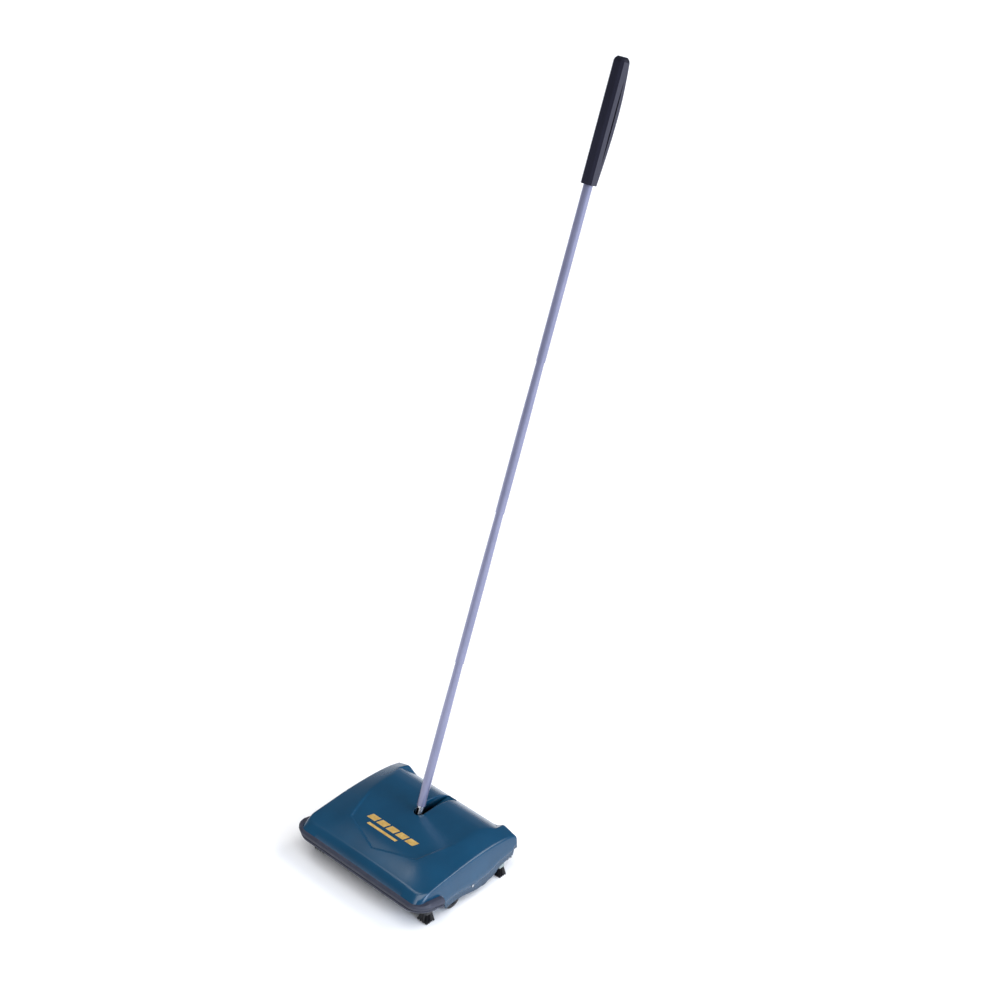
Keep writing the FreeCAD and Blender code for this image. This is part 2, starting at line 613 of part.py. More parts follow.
# ---- wheels -----------------------------------------------------------------
def wheel(end, side):
    """Spoked plastic hub and rubber tyre of one wheel."""
    y = ROLL_Y + end * WHEEL_SPREAD
    hub = ring(HUB_R, STUB_R + FIT, side * WHEEL_IN, side * WHEEL_OUT, y, WHEEL_Z)
    dish = ring(HUB_R - 1.6, STUB_R + 2.5, side * (WHEEL_OUT - 2.5), side * (WHEEL_OUT + 1), y, WHEEL_Z)
    for i in range(5):
        spoke = box(side * (WHEEL_OUT - 2.5), side * (WHEEL_OUT - 0.6), y - 1.0, y + 1.0, WHEEL_Z, WHEEL_Z + HUB_R)
        spoke.rotate(V(0, y, WHEEL_Z), V(1, 0, 0), i * 72.0)
        dish = dish.cut(spoke)
    hub = hub.cut(dish)
    tyre = ring(WHEEL_R, HUB_R, side * WHEEL_IN, side * WHEEL_OUT, y, WHEEL_Z)
    rims = [e for e in tyre.Edges if e.Closed and abs(e.Length - 2 * math.pi * WHEEL_R) < 0.01]
    return hub, tyre.makeChamfer(0.7, rims)


def wheel_axles():
    solids = []
    for _, end in ENDS:
        for _, side in SIDES:
            y = ROLL_Y + end * WHEEL_SPREAD
            solids.append(rod(STUB_R, side * FRAME_IN, side * (WHEEL_OUT + 1.8), y, WHEEL_Z))
    return Part.makeCompound(solids)


def axle_clips():
    """Push-on caps that keep the wheels on their axles, and collars behind the wheels."""
    solids = []
    for _, end in ENDS:
        for _, side in SIDES:
            y = ROLL_Y + end * WHEEL_SPREAD
            solids.append(ring(4.2, STUB_R, side * (WHEEL_OUT + 0.3), side * (WHEEL_OUT + 1.1), y, WHEEL_Z))
            solids.append(ring(4.2, STUB_R, side * (FRAME_IN + FRAME_PLATE), side * (WHEEL_IN - 0.3), y, WHEEL_Z))
    return Part.makeCompound(solids)


# ---- dust pans --------------------------------------------------------------
def pan_lines(end):
    """Hinge point, sheet line and end-wall outline of a pan, from its hinge to its lip."""
    if end < 0:
        hinge, lip_y, deep_y = FRONT_HINGE, ROLL_Y - ROLL_R - 3.0, ROLL_Y - ROLL_R - 8.0
        inward = 1
    else:
        hinge, lip_y, deep_y = REAR_HINGE, ROLL_Y + ROLL_R + 3.0, ROLL_Y + ROLL_R + 8.0
        inward = -1
    hy, hz = hinge
    line = ((hy, hz - PAN_ROD_R - 0.6), (hy + inward * 1.0, 21.0), (hy + inward * 12.0, 11.0), (deep_y, 8.5), (lip_y, 13.0))
    wall = line + ((lip_y - inward * 6.0, 33.0), (hy + inward * 12.0, 40.0), (hy + inward * 5.5, hz + 2.0))
    return hy, hz, inward, line, wall


def pan(end):
    """Folded sheet-metal dust pan with two end walls, curled round its rod."""
    hy, hz, inward, line, wall = pan_lines(end)
    sheet = plate(strip(line, inward * PAN_SHEET), -PAN_HALF, PAN_HALF)
    solid = sheet.fuse(ring(PAN_ROD_R + PAN_SHEET, PAN_ROD_R, -PAN_HALF, PAN_HALF, hy, hz))
    for _, side in SIDES:
        solid = solid.fuse(plate(wall, side * (PAN_HALF - PAN_SHEET), side * PAN_HALF))
    return solid.cut(rod(PAN_ROD_R, -120, 120, hy, hz))


def pan_rod(end):
    hy, hz = FRONT_HINGE if end < 0 else REAR_HINGE
    return rod(PAN_ROD_R, -FRAME_IN - FRAME_PLATE - 1.5, OPENER_IN - 0.4, hy, hz)


def pan_crank(end):
    """Crank on the rod's right end, with a pin in the opener's slot."""
    hy, hz = FRONT_HINGE if end < 0 else REAR_HINGE
    up = 1 if end < 0 else -1
    pin_z = hz + up * CRANK_ARM
    x0, x1 = OPENER_IN - 2.2, OPENER_IN - 0.4
    arm = rod(4.0, x0, x1, hy, hz).fuse(box(x0, x1, hy - 2.6, hy + 2.6, min(hz, pin_z), max(hz, pin_z)))
    arm = arm.fuse(rod(2.6, x0, x1, hy, pin_z)).fuse(rod(CRANK_PIN_R, x1, OPENER_IN + OPENER_PLATE + 0.8, hy, pin_z))
    return arm.cut(rod(PAN_ROD_R, 90, x1, hy, hz))


def pan_spring(end):
    """Torsion spring on the rod's left end, outside the side plate."""
    hy, hz = FRONT_HINGE if end < 0 else REAR_HINGE
    wire_r = 0.5
    radius = PAN_ROD_R + 1.2
    start_x = -FRAME_IN - FRAME_PLATE - 8.0
    helix = Part.makeHelix(1.3, 6.5, radius)
    helix.rotate(V(0, 0, 0), V(0, 1, 0), 90)
    helix.translate(V(start_x, hy, hz))
    begin = helix.Edges[0].Vertexes[0].Point
    tangent = helix.Edges[0].tangentAt(helix.Edges[0].FirstParameter)
    section = Part.Wire(Part.makeCircle(wire_r, begin, tangent))
    return Part.Wire(helix.Edges).makePipeShell([section], True, True)


def opener():
    """Sliding bar on the right that opens both pans: slotted for the crank pins, with a thumb tab."""
    x0, x1 = OPENER_IN, OPENER_IN + OPENER_PLATE
    fy, fz = FRONT_HINGE
    ry, rz = REAR_HINGE
    pin_front = fz + CRANK_ARM
    pin_rear = rz - CRANK_ARM
    bar = plate(((fy - 5, pin_front - 4.5), (ry + 3.5, pin_front - 4.5), (ry + 3.5, pin_front + 3.5),
                 (fy - 5, pin_front + 3.5)), x0, x1)
    leg = box(x0, x1, ry - 3.5, ry + 3.5, pin_rear - 5.5, pin_front)
    tab = box(x0, x1 + 2.0, ry - 3.5, ry + 5.0, pin_rear - 5.5, pin_rear - 4.0)
    bar = bar.fuse(leg).fuse(tab)
    half = CRANK_PIN_R + RUN_GAP
    bar = bar.cut(box(x0 - 1, x1 + 1, fy - half, fy + half, pin_front - 3.4, pin_front + 2.0))
    bar = bar.cut(box(x0 - 1, x1 + 1, ry - half, ry + half, pin_rear - 2.0, pin_rear + 3.4))
    for y in GUIDE_YS:
        bar = bar.cut(box(x0 - 1, x1 + 1, y - 8.5, y + 2.3, pin_front - 2.8, pin_front + 1.8))
    return bar


def opener_guides():
    """Shouldered studs on the side plate that carry the opener."""
    solids = []
    z = FRONT_HINGE[1] + CRANK_ARM - 0.5
    for y in GUIDE_YS:
        stud = rod(3.5, FRAME_IN + FRAME_PLATE, OPENER_IN - RUN_GAP, y, z)
        stud = stud.fuse(rod(2.0, FRAME_IN + FRAME_PLATE, OPENER_IN + OPENER_PLATE + RUN_GAP, y, z))
        solids.append(stud)
    return Part.makeCompound(solids)


# ---- corner brushes ---------------------------------------------------------
def corner_brush(end):
    """Moulded block and its bristle tuft, on the right."""
    x0, x1 = TUFT_FRONT_X if end < 0 else TUFT_REAR_X
    y0, y1 = TUFT_FRONT_Y if end < 0 else TUFT_REAR_Y
    in_x1 = min(x1 - TUFT_FLARE, half_at(BLOCK_TOP) - SHEET - 1.0)
    in_x0 = max(x0 + TUFT_FLARE, BLOCK_IN)
    block = box(BLOCK_IN, in_x1, y0 + TUFT_FLARE, y1 - TUFT_FLARE, TUFT_TOP, BLOCK_TOP)
    block = block.makeChamfer(1.0, [e for e in block.Edges if abs(e.Length - (BLOCK_TOP - TUFT_TOP)) < 0.01])
    wires = []
    for z, flare, left, right in ((0.0, 0.0, x0, x1), (TUFT_TOP, TUFT_FLARE, in_x0, in_x1)):
        points = [V(left, y0 + flare, z), V(right, y0 + flare, z),
                  V(right, y1 - flare, z), V(left, y1 - flare, z)]
        wires.append(Part.makePolygon(points + [points[0]]))
    return block, Part.makeLoft(wires, True, True)


# ---- build ------------------------------------------------------------------
os.makedirs("parts", exist_ok=True)

HOOD = hood_outside()
save("hood_shell", hood_shell(HOOD))
save("bumper_strip", bumper(HOOD))

for name, side in SIDES:
    save("side_frame_" + name, mirror(side_frame(), side))
    save("axle_bush_" + name, axle_bush(side))
for name, end in ENDS:
    save(name + "_rail", rail(end))
    save(name + "_pan", pan(end))
    save(name + "_pan_rod", pan_rod(end))
    save(name + "_pan_crank", pan_crank(end))
    save(name + "_pan_spring", pan_spring(end))
    block, tuft = corner_brush(end)
    for side_name, side in SIDES:
        save("corner_block_" + name + "_" + side_name, mirror(block, side))
        save("corner_tuft_" + name + "_" + side_name, mirror(tuft, side))
        hub, tyre = wheel(end, side)
        save("wheel_hub_" + name + "_" + side_name, hub)
        save("tyre_" + name + "_" + side_name, tyre)
save("frame_rivets", frame_rivets())
save("wheel_axles", wheel_axles())
save("axle_clips", axle_clips())
save("pan_opener", opener())
save("opener_guides", opener_guides())

save("handle_bracket", bracket())
save("bracket_rivets", bracket_rivets())
save("handle_pivot_pin", pivot_pin())
save("pivot_bushes", pivot_bushes())
save("handle_fork", fork())
for index in range(len(TUBE_STARTS)):
    save("handle_tube_" + str(index + 1), tube(index))
save("grip", grip())

brush_roll()
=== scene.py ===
import bmesh
import bpy
import json
import math
import random
from mathutils import Matrix, Vector


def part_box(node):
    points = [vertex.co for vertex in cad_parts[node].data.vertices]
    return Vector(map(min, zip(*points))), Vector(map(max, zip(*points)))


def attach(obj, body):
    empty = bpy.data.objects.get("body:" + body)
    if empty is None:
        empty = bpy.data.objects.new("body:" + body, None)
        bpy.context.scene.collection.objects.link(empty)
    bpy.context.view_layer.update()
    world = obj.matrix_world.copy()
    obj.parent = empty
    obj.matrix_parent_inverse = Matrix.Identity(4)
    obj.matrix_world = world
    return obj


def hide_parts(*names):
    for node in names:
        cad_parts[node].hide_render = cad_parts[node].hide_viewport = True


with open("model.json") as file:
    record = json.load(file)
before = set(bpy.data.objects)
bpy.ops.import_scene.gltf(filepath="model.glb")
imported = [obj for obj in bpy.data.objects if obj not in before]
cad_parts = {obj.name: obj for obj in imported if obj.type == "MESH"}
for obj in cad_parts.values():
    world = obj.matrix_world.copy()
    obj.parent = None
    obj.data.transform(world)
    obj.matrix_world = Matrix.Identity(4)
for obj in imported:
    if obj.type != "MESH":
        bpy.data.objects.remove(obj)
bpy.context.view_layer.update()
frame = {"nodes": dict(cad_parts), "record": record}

MM = 0.001

# ---- camera -----------------------------------------------------------------
# A standing person's look down at the right front corner of the sweeper, with a
# long lens, so that the handle fills the height of the frame.
CAMERA_AT = (1.4214, -1.3985, 1.7517)
CAMERA_AZIMUTH = 42.09
CAMERA_ELEVATION = 30.22
CAMERA_ROLL = 1.67
CAMERA_LENS = 66.3

camera = bpy.data.objects.new("camera", bpy.data.cameras.new("camera"))
bpy.context.scene.collection.objects.link(camera)
camera.data.sensor_width = 36.0
camera.data.lens = CAMERA_LENS
camera.data.clip_end = 60.0
camera.matrix_world = (
    Matrix.Translation(CAMERA_AT)
    @ Matrix.Rotation(math.radians(CAMERA_AZIMUTH), 4, "Z")
    @ Matrix.Rotation(math.radians(90 - CAMERA_ELEVATION), 4, "X")
    @ Matrix.Rotation(math.radians(CAMERA_ROLL), 4, "Z")
)
bpy.context.scene.camera = camera


# ---- studio -----------------------------------------------------------------
# White paper under two broad lights from above, with a cooler soft light from the
# right, and a small one whose glow lies on the brow of the hood.
def linear(code):
    """An sRGB hex colour as linear RGBA."""
    parts = [int(code[i:i + 2], 16) / 255 for i in (1, 3, 5)]
    return tuple(c / 12.92 if c <= 0.04045 else ((c + 0.055) / 1.055) ** 2.4 for c in parts) + (1.0,)


def node(tree, kind, settings=None, inputs=None):
    """Adds a shader node with its settings, and its inputs as values or links."""
    made = tree.nodes.new("ShaderNode" + kind)
    for name, value in (settings or {}).items():
        setattr(made, name, value)
    for name, value in (inputs or {}).items():
        if isinstance(value, bpy.types.NodeSocket):
            tree.links.new(value, made.inputs[name])
        else:
            made.inputs[name].default_value = value
    return made


def material(name, colour, roughness=0.5, metallic=0.0, **sockets):
    """A material with a principled shader: returns it, its tree and the shader."""
    made = bpy.data.materials.new(name)
    made.use_nodes = True
    shader = made.node_tree.nodes["Principled BSDF"]
    shader.inputs["Base Color"].default_value = linear(colour)
    shader.inputs["Roughness"].default_value = roughness
    shader.inputs["Metallic"].default_value = metallic
    for socket, value in sockets.items():
        shader.inputs[socket.replace("_", " ")].default_value = value
    return made, made.node_tree, shader


def mottled(name, colours, roughness, grain_mm, bump_mm, patch_mm=25.0, metallic=0.0, **sockets):
    """A material whose colour and roughness drift in patches, over a fine surface grain."""
    made, tree, shader = material(name, colours[0], roughness[0], metallic, **sockets)
    place = node(tree, "TexCoord").outputs["Object"]
    patches = node(tree, "TexNoise", None, {
        "Vector": place, "Scale": 1 / (patch_mm * MM), "Detail": 3.0})
    shade = node(tree, "ValToRGB", None, {"Fac": patches.outputs["Fac"]})
    shade.color_ramp.elements[0].position = 0.3
    shade.color_ramp.elements[0].color = linear(colours[0])
    shade.color_ramp.elements[1].position = 0.7
    shade.color_ramp.elements[1].color = linear(colours[1])
    tree.links.new(shade.outputs["Color"], shader.inputs["Base Color"])
    grain = node(tree, "TexNoise", None, {
        "Vector": place, "Scale": 1 / (grain_mm * MM), "Detail": 2.0})
    gloss = node(tree, "MapRange", None, {
        "Value": grain.outputs["Fac"], "From Min": 0.3, "From Max": 0.7,
        "To Min": roughness[0], "To Max": roughness[1]})
    tree.links.new(gloss.outputs["Result"], shader.inputs["Roughness"])
    relief = node(tree, "Bump", None, {"Height": grain.outputs["Fac"], "Distance": bump_mm * MM})
    tree.links.new(relief.outputs["Normal"], shader.inputs["Normal"])
    return made


def add_piece(name, shape, finish, body, crease=30.0):
    """Turns a bmesh in millimetres into a smooth-shaded piece of the object."""
    bmesh.ops.transform(shape, matrix=Matrix.Diagonal((MM, MM, MM, 1.0)), verts=shape.verts)
    mesh = bpy.data.meshes.new(name)
    shape.to_mesh(mesh)
    shape.free()
    mesh.shade_smooth()
    mesh.set_sharp_from_angle(angle=math.radians(crease))
    made = bpy.data.objects.new(name, mesh)
    bpy.context.scene.collection.objects.link(made)
    mesh.materials.append(finish)
    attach(made, body)
    return made


PAPER_HALF = 30.0

paper, _, _ = material("studio_paper", "#ffffff", 0.95)
shape = bmesh.new()
bmesh.ops.create_grid(shape, x_segments=1, y_segments=1, size=PAPER_HALF)
floor_mesh = bpy.data.meshes.new("studio_floor")
shape.to_mesh(floor_mesh)
shape.free()
floor = bpy.data.objects.new("studio_floor", floor_mesh)
bpy.context.scene.collection.objects.link(floor)
floor.data.materials.append(paper)

# The room: white screens round the horizon, darker overhead.
SCREEN_LIGHT, CEILING_LIGHT = 0.62, 0.22
SCREEN_FOOT, SCREEN_TOP = 0.02, 0.38     # sines of the elevations where they start to fade and end

world = bpy.data.worlds.new("studio")
world.use_nodes = True
room = world.node_tree
outward = node(room, "SeparateXYZ", None, {"Vector": node(room, "TexCoord").outputs["Generated"]})
level = node(room, "MapRange", {"interpolation_type": "SMOOTHSTEP"}, {
    "Value": outward.outputs["Z"], "From Min": SCREEN_FOOT, "From Max": SCREEN_TOP,
    "To Min": SCREEN_LIGHT, "To Max": CEILING_LIGHT})
room.links.new(level.outputs["Result"], room.nodes["Background"].inputs["Strength"])
room.nodes["Background"].inputs["Color"].default_value = linear("#f1f3ff")
bpy.context.scene.world = world
bpy.context.scene.view_settings.view_transform = "Standard"
# Direction that the light comes from, strength, colour, and how wide it looks in degrees.
for name, toward, strength, tint, wide in (
    ("overhead_light", (0.5, 0.5, 0.7), 1.4, "#ffffff", 36.0),
    ("front_light", (0.25, -0.35, 0.9), 1.75, "#ffffff", 48.0),
    ("side_light", (0.93, 0.1, 0.35), 2.5, "#d8e7ff", 34.0),
    ("brow_glow", (-0.40, -0.02, 0.915), 0.26, "#ffffff", 18.0),
):
    lamp = bpy.data.lights.new(name, "SUN")
    lamp.color = linear(tint)[:3]
    lamp.energy = strength
    lamp.angle = math.radians(wide)
    made = bpy.data.objects.new(name, lamp)
    bpy.context.scene.collection.objects.link(made)
    made.rotation_euler = Vector(toward).to_track_quat("Z", "Y").to_euler()


# ---- hood -------------------------------------------------------------------
# The pressed hood: drafted side walls, a steep lip behind the bumper, a crowned top
# with a sunk panel, and the slot and trough for the handle. Gloss enamel on steel.
HOOD_WALL = 1.8
WALL_HALF = 122.4            # half width of the drafted side wall, carried down to the floor
WALL_DRAFT = 0.09
LIP_FOOT_Z = 50.5
LIP_FOOT = (-96.0, 14.0)     # front and corner radius where the lip leaves the bumper
BROW = (-84.9, 18.0)         # front and corner radius of the crease above the lip
BACK_Y = 99.0
CREASE_ROUND = 3.2
CREASE_X = 117.0
CREASE_Z = 66.0              # where the walls' half width is taken for the crease
RIDGE_SOFT = 7.0
CROWN_DROP = 1.0             # how far the top falls from its middle to the ridge
BACK_STEP = 5.0              # the back wall starts this far below its crease
# Along the hood: y, crease height, half width and height of the crowned top.
CROWN = (
    (-96.0, 57.0, 82.0, 58.0), (-80.0, 60.2, 77.0, 62.4), (-45.0, 63.2, 72.0, 71.6),
    (0.0, 66.0, 78.0, 76.4), (45.0, 65.4, 85.0, 77.0), (78.0, 61.8, 90.0, 72.0), (101.0, 56.0, 94.0, 63.5),
)
PANEL = (
    (-72.0, 61.4), (-45.0, 68.8), (10.0, 74.0), (45.0, 74.8), (62.0, 73.0), (82.0, 66.0), (101.0, 50.5),
)
PANEL_NOSE = (-66.0, -45.0, 63.5)     # tip, shoulders and half width of the pointed front
PANEL_REAR_HALF = 76.0
PANEL_NOSE_SLOPE = 2.4       # of the walls along the pointed front
PANEL_WALL_EASE = 0.55       # how much gentler the side walls are at the rear
PANEL_EDGE_SOFT = 0.4
SKIRT = (
    (-60.0, 36.5), (-47.2, 36.5), (-46.0, 18.0), (-41.5, 18.0), (-33.0, 19.2), (-24.8, 19.5),
    (-16.0, 19.2), (-8.0, 18.0), (16.0, 13.0), (33.5, 14.0), (43.0, 15.4), (51.0, 17.5),
    (62.0, 24.0), (90.0, 28.5), (93.0, 36.0),
)
SLOT_HALF = 8.0
SLOT_NOSE_Y = 25.0           # centre of the slot's round front end
SLOT_BACK_Y = 60.0
TROUGH_RISE = (55.5, 60.5, 94.0)      # trough floor at the slot, its far height, and where that is
SLOT_WALL = ((17.0, 69.0), (46.0, 57.0), (60.0, 55.3))     # y and height of the slot walls' lower edge
SLOT_RIM = 1.4
COLUMNS, ROWS, CORNER_ROWS = 180, 118, 20


def along(line, at, column=1):
    """Smooth curve through the points of a line, read at a place along it."""
    last = len(line) - 1
    i = max(0, min(last - 1, sum(1 for p in line if p[0] <= at) - 1))

    def slope(k):
        a, b = line[max(k - 1, 0)], line[min(k + 1, last)]
        return (b[column] - a[column]) / (b[0] - a[0])
    run = line[i + 1][0] - line[i][0]
    t = max(0.0, min(1.0, (at - line[i][0]) / run))
    a, b = line[i][column], line[i + 1][column]
    return ((2 * t**3 - 3 * t**2 + 1) * a + (t**3 - 2 * t**2 + t) * run * slope(i)
            + (3 * t**2 - 2 * t**3) * b + (t**3 - t**2) * run * slope(i + 1))


def straight(line, at):
    """Straight-sided version of the same."""
    for (a, low), (b, high) in zip(line, line[1:]):
        if at <= b:
            return low + (high - low) * max(0.0, (at - a) / (b - a))
    return line[-1][1]


def soft_max(a, b, soft):
    """The larger of two heights, with a soft change from one to the other."""
    return (a + b + math.sqrt((a - b) ** 2 + soft * soft)) / 2


def hood_height(x, y):
    """Height of the hood's top over a place in plan."""
    x = abs(x)
    crease, ridge, top = (along(CROWN, y, k) for k in (1, 2, 3))
    fall = (top - crease) / (CREASE_X - ridge)
    crown = top - fall * soft_max(x - ridge, 0.0, RIDGE_SOFT) - CROWN_DROP * min(1.0, x / ridge) ** 2
    panel = along(PANEL, y)
    tip, shoulder, half = PANEL_NOSE
    if y < shoulder:
        run = shoulder - tip
        out = (x - half * (y - tip) / run) * run / math.hypot(half, run)
        wall = panel + PANEL_NOSE_SLOPE * out
    else:
        t = (y - shoulder) / (PANEL[-1][0] - shoulder)
        foot_z = PANEL[1][1] + (PANEL[-1][1] - PANEL[1][1]) * t
        wall = foot_z + (x - half - (PANEL_REAR_HALF - half) * t) / (1.0 + PANEL_WALL_EASE * t)
    sunk = soft_max(panel, wall, PANEL_EDGE_SOFT)
    return -soft_max(-crown, -sunk, PANEL_EDGE_SOFT)


def wall_half(z):
    """Half width between the drafted side walls at a height."""
    return WALL_HALF - z * WALL_DRAFT


def plan_point(mark, half, front, corner, back):
    """Place in plan of a wall point, from its run of the outline and how far along it is."""
    run, t, side = mark
    if run == "front":
        return t * (half - corner), front
    if run == "corner":
        return side * (half - corner + corner * math.sin(t)), front + corner - corner * math.cos(t)
    if run == "side":
        return side * half, front + corner + t * (back - front - corner)
    return t * half, back


shape = bmesh.new()
bmesh.ops.create_grid(shape, x_segments=COLUMNS, y_segments=ROWS + CORNER_ROWS, size=1.0)
spots = {}
inner_half = wall_half(CREASE_Z) - CREASE_ROUND
inner_front, inner_corner = BROW[0] + CREASE_ROUND, BROW[1] - CREASE_ROUND
inner_back = BACK_Y - CREASE_ROUND
for vert in shape.verts:
    row = round((vert.co.y + 1) / 2 * (ROWS + CORNER_ROWS))
    u = vert.co.x
    side = 1 if u > 0 else -1
    turn = min(1.0, row / CORNER_ROWS) * math.pi / 2
    t = max(0.0, (row - CORNER_ROWS) / ROWS)
    y = inner_front + inner_corner * (1 - math.cos(turn)) + t * (inner_back - inner_front - inner_corner)
    x = u * (inner_half - inner_corner + inner_corner * math.sin(turn))
    if row == 0:
        spots[vert] = ("front", u, side)
    elif row == ROWS + CORNER_ROWS:
        spots[vert] = ("back", u, side)
    elif abs(u) > 0.999:
        spots[vert] = ("corner", turn, side) if row <= CORNER_ROWS else ("side", t, side)
    vert.co = (x, y, hood_height(x, y))
rim = [e for e in shape.edges if e.is_boundary]
# Round the rim, the crease's rounding comes first, then the foot of the lip and the wall.
for step in (0.25, 0.5, 0.75, 1.0, "foot", "waist", "skirt"):
    grown = bmesh.ops.extrude_edge_only(shape, edges=rim)["geom"]
    rim = [g for g in grown if isinstance(g, bmesh.types.BMEdge) and g.is_boundary]
    fresh = {}
    for edge in rim:
        for vert in edge.verts:
            if vert in fresh:
                continue
            near = min((e.other_vert(vert) for e in vert.link_edges if e.other_vert(vert) in spots),
                       key=lambda v: (v.co - vert.co).length)
            mark = spots[near]
            x, y = plan_point(mark, inner_half, inner_front, inner_corner, inner_back)
            inside = Vector((x, y, hood_height(x, y)))
            x, y = plan_point(mark, wall_half(CREASE_Z), BROW[0], BROW[1], BACK_Y)
            peak = Vector((x, y, hood_height(x, y)))
            foot_z = min(LIP_FOOT_Z, peak.z - BACK_STEP)
            x, y = plan_point(mark, wall_half(foot_z), LIP_FOOT[0], LIP_FOOT[1], BACK_Y)
            foot = Vector((x, y, foot_z))
            low = peak + (foot - peak).normalized() * CREASE_ROUND
            if step == "foot":
                place = foot
            elif step in ("waist", "skirt"):
                z = straight(SKIRT, y)
                z = (z + foot_z) / 2 if step == "waist" else z
                x, y = plan_point(mark, wall_half(z), LIP_FOOT[0], LIP_FOOT[1], BACK_Y)
                place = Vector((x, y, z))
            else:
                place = inside * (1 - step) ** 2 + peak * 2 * step * (1 - step) + low * step ** 2
            vert.co = place
            fresh[vert] = mark
    spots = fresh

# The slot and the trough: an opening with a rounded rim, walls that hang from it, and a floor.
trough_low, trough_high, trough_far = TROUGH_RISE


def trough_floor(y):
    """Height of the trough's sloping floor."""
    return trough_low + (trough_high - trough_low) * (y - SLOT_BACK_Y) / (trough_far - SLOT_BACK_Y)


trough_end = SLOT_BACK_Y
while hood_height(0.0, trough_end) - trough_floor(trough_end) > SLOT_RIM * 0.4:
    trough_end += 0.25
mouth = SLOT_HALF + SLOT_RIM


def in_mouth(x, y, grow=0.0):
    """Whether a place in plan lies in the opening of the slot and trough."""
    if y > trough_end:
        return False
    if y > SLOT_NOSE_Y:
        return abs(x) < mouth + grow
    return math.hypot(x, y - SLOT_NOSE_Y) < mouth + grow


gone = [f for f in shape.faces if in_mouth(*f.calc_center_median().xy)]
bmesh.ops.delete(shape, geom=gone, context="FACES")
lip = [e for e in shape.edges if e.is_boundary and in_mouth(*e.verts[0].co.xy, 3.0)
       and e.verts[0].co.z > LIP_FOOT_Z]
lip += [e for e in shape.edges if e.is_boundary and e not in lip and abs(e.verts[0].co.x) < mouth + 3
        and abs(e.verts[0].co.y - trough_end) < 3]
for depth, inset in ((0.0, 0.0), (0.15, 0.5), (0.45, 0.8), (1.0, 1.0), ("wall", 1.0)):
    if depth != 0.0:
        grown = bmesh.ops.extrude_edge_only(shape, edges=lip)["geom"]
        lip = [g for g in grown if isinstance(g, bmesh.types.BMEdge) and g.is_boundary]
    for vert in {v for e in lip for v in e.verts}:
        x, y = vert.co.xy
        half = mouth - inset * SLOT_RIM
        if y > trough_end - 1.2:
            y = trough_end
            x = max(-half, min(half, x))
        elif y > SLOT_NOSE_Y:
            x = math.copysign(half, x)
        else:
            out = Vector((x, y - SLOT_NOSE_Y)).normalized() * half
            x, y = out.x, SLOT_NOSE_Y + out.y
        if depth == "wall":
            if y > SLOT_BACK_Y:
                z = trough_floor(y) - 0.2
            else:
                z = straight(SLOT_WALL, y)
        else:
            z = hood_height(x, y) - depth * SLOT_RIM
            if y > SLOT_BACK_Y:
                z = max(z, trough_floor(y) - 0.1)
        vert.co = (x, y, z)
bmesh.ops.recalc_face_normals(shape, faces=shape.faces)
trough = bmesh.new()
bmesh.ops.create_grid(trough, x_segments=6, y_segments=20, size=1.0)
for vert in trough.verts:
    y = SLOT_BACK_Y + (vert.co.y + 1) / 2 * (trough_end - SLOT_BACK_Y)
    vert.co = (vert.co.x * (SLOT_HALF + 0.1), y, trough_floor(y))

# Deep blue enamel, sprayed and baked: an even gloss with a faint orange peel.
hood_enamel = mottled("blue_baked_enamel", ("#053853", "#083f5c"), (0.2, 0.26), 1.6, 0.012,
                      patch_mm=60.0)
hood = add_piece("hood_pressing", shape, hood_enamel, "head", crease=50.0)
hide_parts("hood_shell")
wall = hood.modifiers.new("sheet", "SOLIDIFY")
wall.thickness = HOOD_WALL * MM
wall.offset = -1.0
floor_plate = add_piece("trough_floor", trough, hood_enamel, "head")
wall = floor_plate.modifiers.new("sheet", "SOLIDIFY")
wall.thickness = HOOD_WALL * MM
wall.offset = -1.0

# ---- gold stripes -------------------------------------------------------------
# A row of slanted foil blocks over a thin bar, hot stamped on the sunk panel in front
# of the handle.
FOIL_LIFT = 0.12
FOIL_SLANT = 0.45
BLOCKS, BLOCK_PITCH, BLOCK_WIDE, BLOCK_DEEP = 5, 18.6, 15.4, 9.6
BLOCKS_LEFT, BLOCKS_Y = -46.0, -26.0
BAR = (-38.0, 18.0, -38.0, 4.0)       # left, right, middle y, width

shape = bmesh.new()
bars = [(BLOCKS_LEFT + i * BLOCK_PITCH, BLOCKS_LEFT + i * BLOCK_PITCH + BLOCK_WIDE, BLOCKS_Y, BLOCK_DEEP)
        for i in range(BLOCKS)] + [BAR]
for left, right, middle, width in bars:
    for vert in bmesh.ops.create_grid(shape, x_segments=24, y_segments=5, size=1.0)["verts"]:
        across = vert.co.y * width / 2
        x = (left + right) / 2 + vert.co.x * (right - left) / 2 + across * FOIL_SLANT
        y = middle + across
        vert.co = (x, y, hood_height(x, y) + FOIL_LIFT)
# Stamped gold foil: a warm metal with small breaks in its shine.
gold_foil = mottled("stamped_gold_foil", ("#c0984f", "#dab56a"), (0.35, 0.5), 0.8, 0.01, patch_mm=5.0,
                    metallic=0.35)
stripes = add_piece("gold_stripes", shape, gold_foil, "head")

